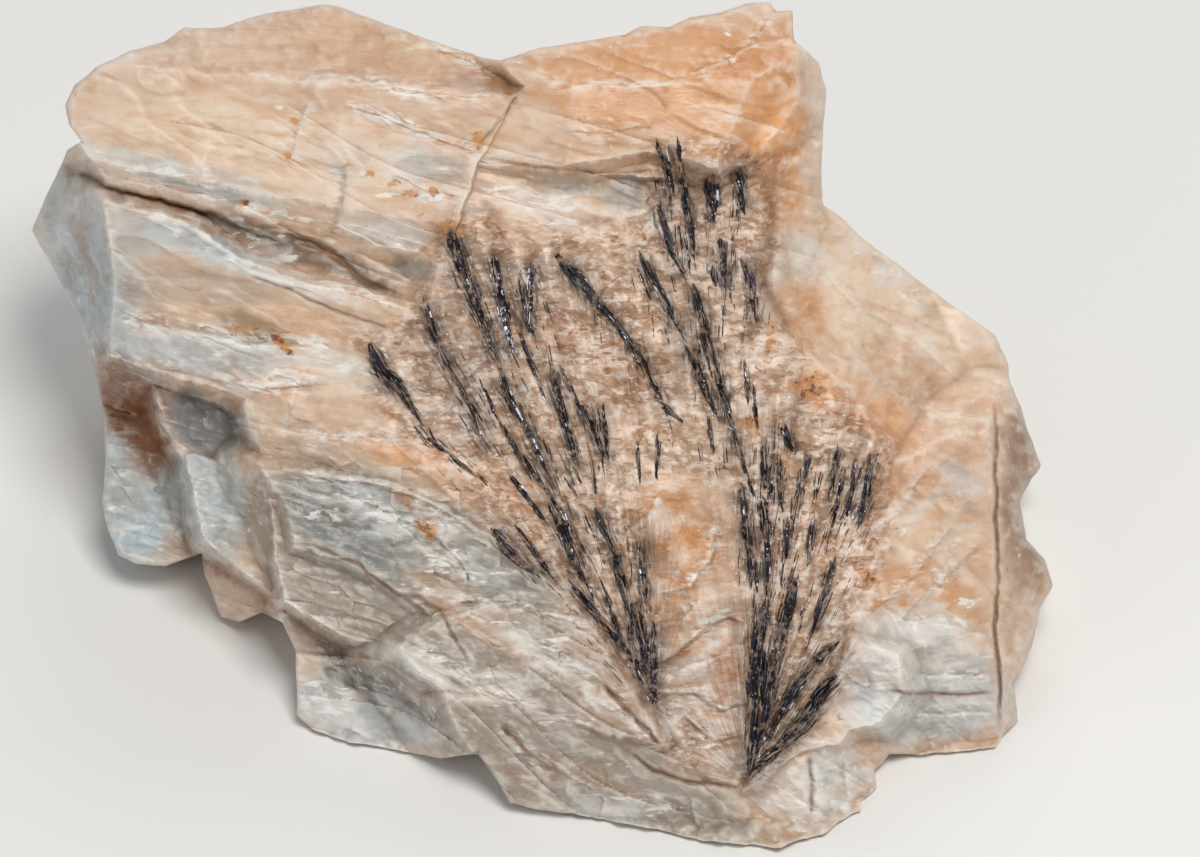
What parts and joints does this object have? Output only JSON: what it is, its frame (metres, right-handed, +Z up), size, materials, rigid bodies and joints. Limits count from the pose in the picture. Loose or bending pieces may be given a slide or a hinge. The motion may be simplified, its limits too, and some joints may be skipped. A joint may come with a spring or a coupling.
{
  "type": "kobeite specimen",
  "caption": "Mineral hand specimen: black kobeite needle crystals fanned in two sprays over the broken front face of a tan and white feldspar rock that rests on a flat broken base.",
  "frame": {"origin": "a point on the flat base, below the middle of the front face's drawing frame", "axes": "+X to the specimen's right as its crystal face is looked at, +Y to the back, +Z up; the crystal face looks towards -Y and leans back 40 degrees"},
  "size_m": [0.0542, 0.0422, 0.0307],
  "materials": {
    "feldspar": "broken feldspar, waxy to vitreous, orange-tan to grey-white",
    "kobeite": "black needles with a sub-metallic glint"
  },
  "bodies": {
    "root": {"feldspar_matrix": "feldspar", "right_spray_root": "kobeite", "left_spray_root": "kobeite", "right_spray_crystal_01": "kobeite", "right_spray_crystal_02": "kobeite", "right_spray_crystal_03": "kobeite", "right_spray_crystal_04": "kobeite", "right_spray_crystal_05": "kobeite", "right_spray_crystal_06": "kobeite", "right_spray_crystal_07": "kobeite", "right_spray_crystal_08": "kobeite", "right_spray_crystal_09": "kobeite", "right_spray_crystal_10": "kobeite", "right_spray_crystal_11": "kobeite", "right_spray_crystal_12": "kobeite", "left_spray_crystal_01": "kobeite", "left_spray_crystal_02": "kobeite", "left_spray_crystal_03": "kobeite", "left_spray_crystal_04": "kobeite", "left_spray_crystal_05": "kobeite", "left_spray_crystal_06": "kobeite", "left_spray_crystal_07": "kobeite", "left_spray_crystal_08": "kobeite", "left_spray_crystal_09": "kobeite", "left_spray_crystal_10": "kobeite", "left_spray_crystal_11": "kobeite", "left_spray_crystal_12": "kobeite", "left_spray_crystal_13": "kobeite", "upper_spray_crystal_01": "kobeite", "upper_spray_crystal_02": "kobeite", "upper_spray_crystal_03": "kobeite", "upper_spray_crystal_04": "kobeite", "upper_spray_crystal_05": "kobeite", "upper_spray_crystal_06": "kobeite", "upper_spray_crystal_07": "kobeite", "upper_spray_crystal_08": "kobeite", "upper_spray_crystal_09": "kobeite", "upper_spray_crystal_10": "kobeite"}
  },
  "joints": []
}
